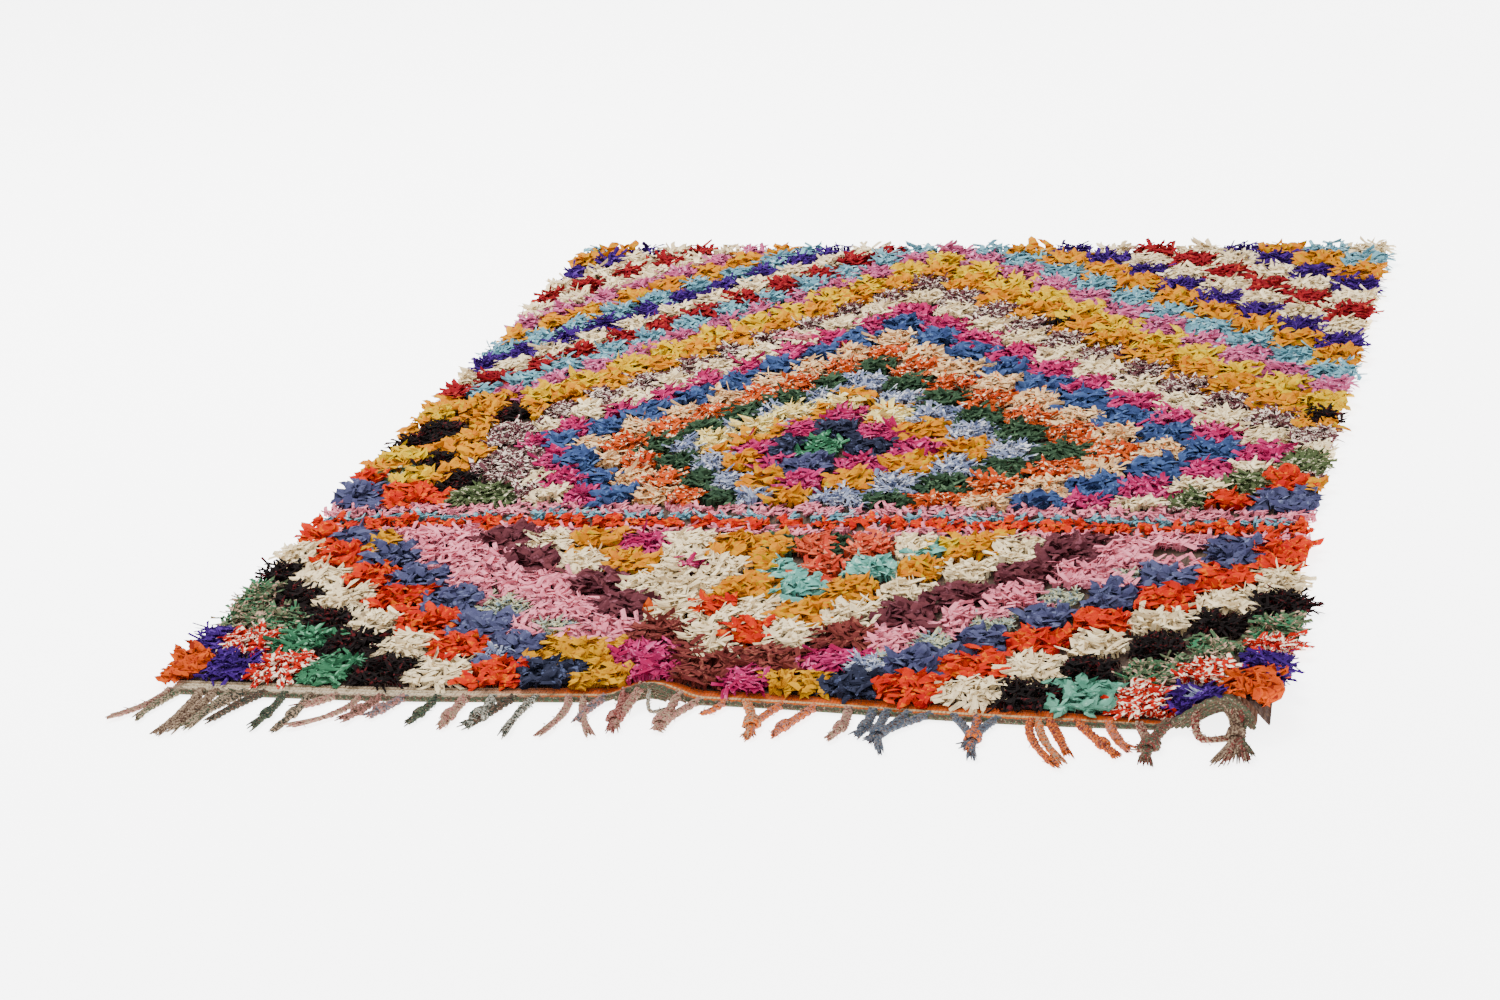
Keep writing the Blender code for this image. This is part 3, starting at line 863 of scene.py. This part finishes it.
def strand_path(strand):
    """Middle line of a strand of fringe, from inside the band through its knot to its tip."""
    front = FRONT + edge_back(strand.root)
    low = lift(strand.root, front)
    root = Vector((strand.root, front + 0.006))
    knot = Vector((strand.knot_x, FRONT - strand.knot_y))
    tip = Vector((strand.tip_x, FRONT - strand.tip_y))
    free = 1 - KNOT_SHARE
    pull = (knot - root * free ** 2 - tip * KNOT_SHARE ** 2) / (2 * free * KNOT_SHARE)
    line = []
    for step in range(STRAND_STEPS + 1):
        share = step / STRAND_STEPS
        flat = root * (1 - share) ** 2 + pull * 2 * share * (1 - share) + tip * share ** 2
        rest = low * (1 - min(1.0, share / STRAND_DROP_SHARE)) ** 2
        line.append(Vector((flat.x, flat.y, rest + STRAND_HIGH * 0.5)))
    return line


def sides_of(line, step):
    """Directions along, across and up at a step of a line."""
    ahead = (line[min(step + 1, len(line) - 1)] - line[max(step - 1, 0)]).normalized()
    across = Vector((0, 0, 1)).cross(ahead).normalized()
    return ahead, across, ahead.cross(across)


def cord_lines(strand):
    """Twisted plies, knot, loose tail and fuzz of one strand, as lines with radii and tones."""
    rng = np.random.default_rng(int((strand.root + 2) * 1000))
    line = strand_path(strand)
    long = sum((b - a).length for a, b in zip(line, line[1:]))
    wide = strand.wide * STRAND_GROWS
    tones = [linear(YARNS[strand.first]), linear(YARNS[strand.second])]
    lines = []

    def add(points, radii):
        for point, radius in zip(points, radii):
            point.z = max(point.z, radius + 0.0002)
        pick = rng.permutation(2) if rng.random() < 0.4 else (0, 1)
        lines.append((points, radii, tones[pick[0]], tones[pick[1]]))

    plies_end = 0.94
    for ply in range(PLY_COUNT):
        points, radii = [], []
        for step in range(STRAND_STEPS + 1):
            share = step / STRAND_STEPS
            if share > plies_end:
                break
            ahead, across, up = sides_of(line, step)
            body = wide * 0.5 * (1.0 if share < KNOT_SHARE else 0.85)
            angle = 2 * math.pi * (ply / PLY_COUNT + PLY_TWIST * long * share)
            spot = line[step] + (across * math.cos(angle) + up * math.sin(angle) * 0.7) * body * 0.5
            points.append(spot)
            radii.append(body * 0.48)
        add(points, radii)
    if strand.knot:
        middle = round(KNOT_SHARE * STRAND_STEPS)
        ahead, across, up = sides_of(line, middle)
        reach = wide * (0.44 if strand.knot == 1 else 0.62)
        points = []
        for step in range(21):
            angle = 2 * math.pi * KNOT_TURNS * step / 20
            slide = ahead * wide * 0.42 * (step / 10 - 1)
            points.append(line[middle] + (across * math.cos(angle) + up * math.sin(angle)) * reach + slide)
        add(points, [wide * 0.23] * len(points))
    for yarn in range(TAIL_YARNS):
        angle = 2 * math.pi * rng.random()
        spread = rng.uniform(0.15, 0.55) * wide
        start = rng.uniform(KNOT_SHARE, 0.85)
        over = rng.uniform(-0.004, 0.007)
        points = []
        for part in range(6):
            share = start + (1 - start) * part / 5
            step = round(share * STRAND_STEPS)
            ahead, across, up = sides_of(line, step)
            out = (across * math.cos(angle) + up * math.sin(angle) * 0.5) * spread * (0.5 + 0.6 * part / 5)
            points.append(line[step] + out + ahead * over * (part == 5))
        add(points, [0.0014, 0.0016, 0.0016, 0.0015, 0.0013, 0.0007])
    for hair in range(FUZZ_HAIRS):
        step = int(rng.integers(2, STRAND_STEPS))
        ahead, across, up = sides_of(line, step)
        angle = 2 * math.pi * rng.random()
        out = across * math.cos(angle) + up * math.sin(angle)
        start = line[step] + out * wide * 0.40
        end = start + out * rng.uniform(0.0015, 0.0040) + ahead * rng.normal(0, 0.003)
        add([start, end], [0.0006, 0.0003])
    return lines


def rim_lines():
    """Cord that binds the band's front edge, and dark cords stacked under its raised stretches down to the
    floor, partly the rug's underside and partly painted shade in the opening.
    """
    left, right = EDGES[0].left + 0.006, EDGES[0].right - 0.006
    tones = linear(YARNS["green"]), linear(YARNS["brown"])
    lines = []
    for ply in range(2):
        points = []
        for step in range(RIM_STEPS + 1):
            x = left + (right - left) * step / RIM_STEPS
            y = FRONT + edge_back(x)
            angle = 2 * math.pi * (ply / 2 + RIM_TWIST * step / RIM_STEPS)
            low = lift(x, y) + RIM_RADIUS * 1.7
            points.append(Vector((x, y - 0.001 + math.cos(angle) * 0.0014, low + math.sin(angle) * 0.0012)))
        lines.append((points, [RIM_RADIUS] * len(points), *tones))
    # Stacked dark cords fill the opening under raised stretches, partly as the rug's underside and partly as
    # painted shade
    for level in range(1, SELVAGE_SHADE_CORDS + 1):
        points = []
        for step in range(RIM_STEPS + 1):
            x = left + (right - left) * step / RIM_STEPS
            y = FRONT + edge_back(x)
            low = lift(x, y) - level * SELVAGE_SHADE_STEP + RIM_RADIUS
            if low > RIM_RADIUS:
                wave = 0.0006 * math.sin(step * (1.3 + 0.4 * level))
                points.append(Vector((x, y + 0.002 + 0.001 * level + wave, low)))
            if points and (low <= RIM_RADIUS or step == RIM_STEPS):
                lines.append((points, [RIM_RADIUS] * len(points), *tones[::(-1) ** level]))
                points = []
    return lines


def cord_tree():
    """Node tree that makes tubes of lines by their own radius."""
    tree = bpy.data.node_groups.new("fringe_cords", "GeometryNodeTree")
    tree.interface.new_socket("Geometry", in_out="INPUT", socket_type="NodeSocketGeometry")
    sides = tree.interface.new_socket("Sides", in_out="INPUT", socket_type="NodeSocketInt")
    sides.default_value = 6
    tree.interface.new_socket("Yarn", in_out="INPUT", socket_type="NodeSocketMaterial")
    tree.interface.new_socket("Geometry", in_out="OUTPUT", socket_type="NodeSocketGeometry")
    nodes, links = tree.nodes, tree.links
    given = nodes.new("NodeGroupInput")
    result = nodes.new("NodeGroupOutput")
    curve = nodes.new("GeometryNodeMeshToCurve")
    links.new(given.outputs["Geometry"], curve.inputs[0])
    radius = nodes.new("GeometryNodeInputNamedAttribute")
    radius.inputs["Name"].default_value = "thick"
    ring = nodes.new("GeometryNodeCurvePrimitiveCircle")
    ring.inputs["Radius"].default_value = 1.0
    links.new(given.outputs["Sides"], ring.inputs["Resolution"])
    tube = nodes.new("GeometryNodeCurveToMesh")
    tube.inputs["Fill Caps"].default_value = True
    links.new(curve.outputs[0], tube.inputs["Curve"])
    links.new(ring.outputs[0], tube.inputs["Profile Curve"])
    links.new(radius.outputs["Attribute"], tube.inputs["Scale"])
    paint = nodes.new("GeometryNodeSetMaterial")
    links.new(tube.outputs[0], paint.inputs["Geometry"])
    links.new(given.outputs["Yarn"], paint.inputs["Material"])
    links.new(paint.outputs[0], result.inputs[0])
    return tree


def yarn_material():
    """Melange yarn: two tones of its own mixed in short flecks."""
    material, nodes, links = new_material("melange_yarn")
    shader = nodes["Principled BSDF"]
    shader.inputs["Roughness"].default_value = 0.95
    shader.inputs["Specular IOR Level"].default_value = 0.15
    place = nodes.new("ShaderNodeTexCoord")
    tones = []
    for name in ("tone_a", "tone_b"):
        tone = nodes.new("ShaderNodeAttribute")
        tone.attribute_name = name
        tones.append(tone.outputs["Color"])
    fleck = noise_of(nodes, links, place.outputs["Object"], 300.0, 2.0)
    fleck = maths(nodes, links, "MULTIPLY_ADD", fleck, 9.0)
    fleck.node.inputs[2].default_value = -4.1
    fleck.node.use_clamp = True
    body = mixed(nodes, links, fleck, tones[0], tones[1])
    light = noise_of(nodes, links, place.outputs["Object"], 460.0, 2.0)
    light = maths(nodes, links, "MULTIPLY_ADD", light, 9.0)
    light.node.inputs[2].default_value = -5.3
    light.node.use_clamp = True
    body = mixed(nodes, links, light, body, linear((.70, .60, .52)))
    dark = noise_of(nodes, links, place.outputs["Object"], 350.0, 1.0)
    dark = maths(nodes, links, "MULTIPLY_ADD", dark, 9.0)
    dark.node.inputs[2].default_value = -5.0
    dark.node.use_clamp = True
    body = mixed(nodes, links, dark, body, linear((.33, .24, .21)))
    links.new(body, shader.inputs["Base Color"])
    bump = nodes.new("ShaderNodeBump")
    bump.inputs["Strength"].default_value = 0.8
    bump.inputs["Distance"].default_value = 0.0008
    links.new(noise_of(nodes, links, place.outputs["Object"], 1300.0, 2.0), bump.inputs["Height"])
    links.new(bump.outputs[0], shader.inputs["Normal"])
    return material


class RugSettings(bpy.types.PropertyGroup):
    """Sizes and seeds of the rug."""

    row_pitch: bpy.props.FloatProperty(
        name="Row pitch", description="Distance between rows of knots", default=0.0175, unit="LENGTH"
    )
    knot_pitch: bpy.props.FloatProperty(
        name="Knot pitch", description="Distance between knots in a row", default=0.0152, unit="LENGTH"
    )
    ground_thick: bpy.props.FloatProperty(
        name="Ground thickness", description="Thickness of the ground weave", default=0.003, unit="LENGTH"
    )
    band_thick: bpy.props.FloatProperty(
        name="Band thickness", description="Thickness of the flat end band", default=0.0026, unit="LENGTH"
    )
    cord_sides: bpy.props.IntProperty(name="Cord sides", description="Sides of a fringe ply", default=6)
    seed: bpy.props.IntProperty(name="Seed", description="Seed of the rag tufts", default=7)


class RUG_OT_ground(bpy.types.Operator):
    """Ground weave that the pile is knotted into"""

    bl_idname = "rug.ground"
    bl_label = "Ground weave"

    def execute(self, context):
        settings = context.scene.rug_settings

        def place_at(across, back):
            y = FRONT + BAND_DEEP + (FAR - FRONT - BAND_DEEP) * back
            left = blend(EDGES, "y", "left", y) - GROUND_OVER
            right = blend(EDGES, "y", "right", y) + GROUND_OVER
            x = left + (right - left) * across
            near = FRONT + band_deep(x) + 0.0005
            y = near + (FAR - near) * back + edge_back(x) * (1 - back) ** 4
            return Vector((x, y, lift(x, y))), (across * 1.49, back * 1.84)

        ground = cloth_grid("ground_weave", 60, 60, place_at, settings.ground_thick)
        # The ground's dark tone is partly its own colour and partly painted shade: it shows as the dark gaps
        # and creases between the tufts
        dark = [(.30, .24, .22), (.34, .28, .25)]
        ground.data.materials.append(woven_material("ground_weave", dark, None, 0.006))
        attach(ground, "root")
        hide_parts("rug_pile")
        return {"FINISHED"}


class RUG_OT_pile(bpy.types.Operator):
    """Rag tufts in stepped lozenges, knotted over the whole ground"""

    bl_idname = "rug.pile"
    bl_label = "Rag pile"

    def execute(self, context):
        settings = context.scene.rug_settings
        rng = np.random.default_rng(settings.seed + 1)
        kinds = bpy.data.collections.new("knot_kinds")
        for cut in CUTS:
            for variant in range(VARIANTS):
                index = len(kinds.objects)
                kinds.objects.link(knot_object(f"knot_{index:02d}", cut, rng))
        cloth = rag_material()
        tree = tuft_tree(kinds, cloth)
        knots = knot_points(settings)
        for zone, (low, high) in enumerate(zip(ZONES, ZONES[1:])):
            share = [knot for knot in knots if low <= knot[0][1] < high]
            pile = points_object(f"pile_{zone + 1}", share)
            spread = pile.modifiers.new("tufts", "NODES")
            spread.node_group = tree
            set_input(spread, "Knots", kinds)
            set_input(spread, "Cloth", cloth)
            applied(pile)
            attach(pile, "root")
            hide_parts("rug_pile")
        for knot in list(kinds.objects):
            bpy.data.objects.remove(knot)
        bpy.data.collections.remove(kinds)
        return {"FINISHED"}


class RUG_OT_band(bpy.types.Operator):
    """Flat-woven band at the front end"""

    bl_idname = "rug.band"
    bl_label = "End band"

    def execute(self, context):
        settings = context.scene.rug_settings
        left, right = EDGES[0].left + 0.004, EDGES[0].right - 0.004
        ribs = 7

        def place_at(across, back):
            x = left + (right - left) * across
            y = FRONT + edge_back(x) + band_deep(x) * back
            rib = 0.0012 * abs(math.sin(math.pi * ribs * back))
            return Vector((x, y, lift(x, y) + rib)), (across * 1.48, back * BAND_DEEP)

        band = cloth_grid("end_band", 300, 14, place_at, settings.band_thick)
        right_stripes = [
            (.36, .38, .24), (.72, .34, .18), (.84, .42, .20), (.84, .70, .54), (.86, .42, .20),
            (.86, .40, .18), (.80, .36, .18), (.80, .36, .18),
        ]
        left_stripes = [
            (.38, .36, .28), (.46, .42, .32), (.76, .68, .58), (.82, .76, .66), (.78, .70, .58),
            (.82, .76, .66), (.70, .60, .48), (.78, .70, .60),
        ]
        band.data.materials.append(woven_material("end_band", right_stripes, left_stripes, 0.005))
        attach(band, "root")
        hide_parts("front_end_band")
        return {"FINISHED"}


class RUG_OT_fringe(bpy.types.Operator):
    """Twisted warp ends along the front edge, knotted near their tips"""

    bl_idname = "rug.fringe"
    bl_label = "Fringe"

    def execute(self, context):
        settings = context.scene.rug_settings
        points, edges, thick, tone_a, tone_b = [], [], [], [], []
        for lines in [cord_lines(strand) for strand in STRANDS] + [rim_lines()]:
            for line, radii, first, second in lines:
                start = len(points)
                points += line
                edges += [(start + step, start + step + 1) for step in range(len(line) - 1)]
                thick += radii
                tone_a += [first] * len(line)
                tone_b += [second] * len(line)
        mesh = bpy.data.meshes.new("fringe")
        mesh.from_pydata(points, edges, [])
        mesh.attributes.new("thick", "FLOAT", "POINT").data.foreach_set("value", thick)
        for name, tones in (("tone_a", tone_a), ("tone_b", tone_b)):
            flat = np.array(tones, float).ravel()
            mesh.attributes.new(name, "FLOAT_COLOR", "POINT").data.foreach_set("color", flat)
        fringe = placed("fringe", mesh)
        tubes = fringe.modifiers.new("cords", "NODES")
        tubes.node_group = cord_tree()
        set_input(tubes, "Sides", settings.cord_sides)
        set_input(tubes, "Yarn", yarn_material())
        applied(fringe)
        fringe.data.shade_smooth()
        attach(fringe, "root")
        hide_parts("front_end_band")
        return {"FINISHED"}


class RUG_OT_stage(bpy.types.Operator):
    """Pale floor, soft studio light and the camera"""

    bl_idname = "rug.stage"
    bl_label = "Stage"

    def execute(self, context):
        scene = context.scene
        bpy.ops.mesh.primitive_plane_add(size=60)
        floor = context.object
        floor.name = "studio_floor"
        material, nodes, links = new_material("studio_floor")
        shader = nodes["Principled BSDF"]
        shader.inputs["Roughness"].default_value = 0.9
        shader.inputs["Specular IOR Level"].default_value = 0.0
        shader.inputs["Base Color"].default_value = (0.92, 0.92, 0.92, 1.0)
        shader.inputs["Emission Color"].default_value = (1.0, 1.0, 1.0, 1.0)
        shader.inputs["Emission Strength"].default_value = 4.5
        floor.data.materials.append(material)
        world = bpy.data.worlds.new("studio")
        world.use_nodes = True
        world.node_tree.nodes["Background"].inputs["Color"].default_value = (1.0, 1.0, 1.0, 1.0)
        world.node_tree.nodes["Background"].inputs["Strength"].default_value = 1.7
        scene.world = world
        lamp = bpy.data.lights.new("key", "AREA")
        lamp.shape = "RECTANGLE"
        lamp.size = 2.5
        lamp.size_y = 2.0
        lamp.energy = 250.0
        key = bpy.data.objects.new("key", lamp)
        key.location = (-1.6, 0.9, 3.4)
        key.rotation_euler = Vector((1.6, -0.9, -3.4)).to_track_quat("-Z", "Y").to_euler()
        scene.collection.objects.link(key)
        yaw, pitch, roll = (math.radians(a) for a in (CAMERA_YAW, CAMERA_PITCH, CAMERA_ROLL))
        ahead = Vector((math.sin(yaw) * math.cos(pitch), math.cos(yaw) * math.cos(pitch), -math.sin(pitch)))
        side = Vector((math.cos(yaw), -math.sin(yaw), 0))
        up = side.cross(ahead)
        right = side * math.cos(roll) + up * math.sin(roll)
        top = up * math.cos(roll) - side * math.sin(roll)
        data = bpy.data.cameras.new("camera")
        data.lens = CAMERA_LENS
        data.sensor_width = 36
        data.clip_end = 200
        camera = bpy.data.objects.new("camera", data)
        turn = Matrix((right, top, -ahead)).transposed().to_4x4()
        camera.matrix_world = Matrix.Translation(CAMERA_PLACE) @ turn
        scene.collection.objects.link(camera)
        scene.camera = camera
        return {"FINISHED"}


class RUG_OT_declare(bpy.types.Operator):
    """Empty step: it sets nothing."""

    bl_idname = "rug.declare"
    bl_label = "Cloth facts"

    def execute(self, context):
        return {"FINISHED"}


class RUG_PT_panel(bpy.types.Panel):
    """Buttons for the rug's pieces"""

    bl_label = "Rug"
    bl_idname = "RUG_PT_panel"
    bl_space_type = "VIEW_3D"
    bl_region_type = "UI"
    bl_category = "Rug"

    def draw(self, context):
        settings = context.scene.rug_settings
        for name in ("row_pitch", "knot_pitch", "ground_thick", "band_thick", "cord_sides", "seed"):
            self.layout.prop(settings, name)
        for step in STEPS:
            self.layout.operator(step.bl_idname)


STEPS = (RUG_OT_ground, RUG_OT_pile, RUG_OT_band, RUG_OT_fringe, RUG_OT_declare, RUG_OT_stage)
CLASSES = (RugSettings, *STEPS, RUG_PT_panel)


def register():
    for item in CLASSES:
        bpy.utils.register_class(item)
    bpy.types.Scene.rug_settings = bpy.props.PointerProperty(type=RugSettings)


def unregister():
    del bpy.types.Scene.rug_settings
    for item in reversed(CLASSES):
        bpy.utils.unregister_class(item)


def main():
    """Builds the rug piece by piece."""
    register()
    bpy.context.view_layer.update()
    bpy.ops.rug.ground()
    bpy.ops.rug.pile()
    bpy.ops.rug.band()
    bpy.ops.rug.fringe()
    bpy.ops.rug.declare()
    bpy.ops.rug.stage()
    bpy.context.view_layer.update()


if __name__ == "__main__":
    main()
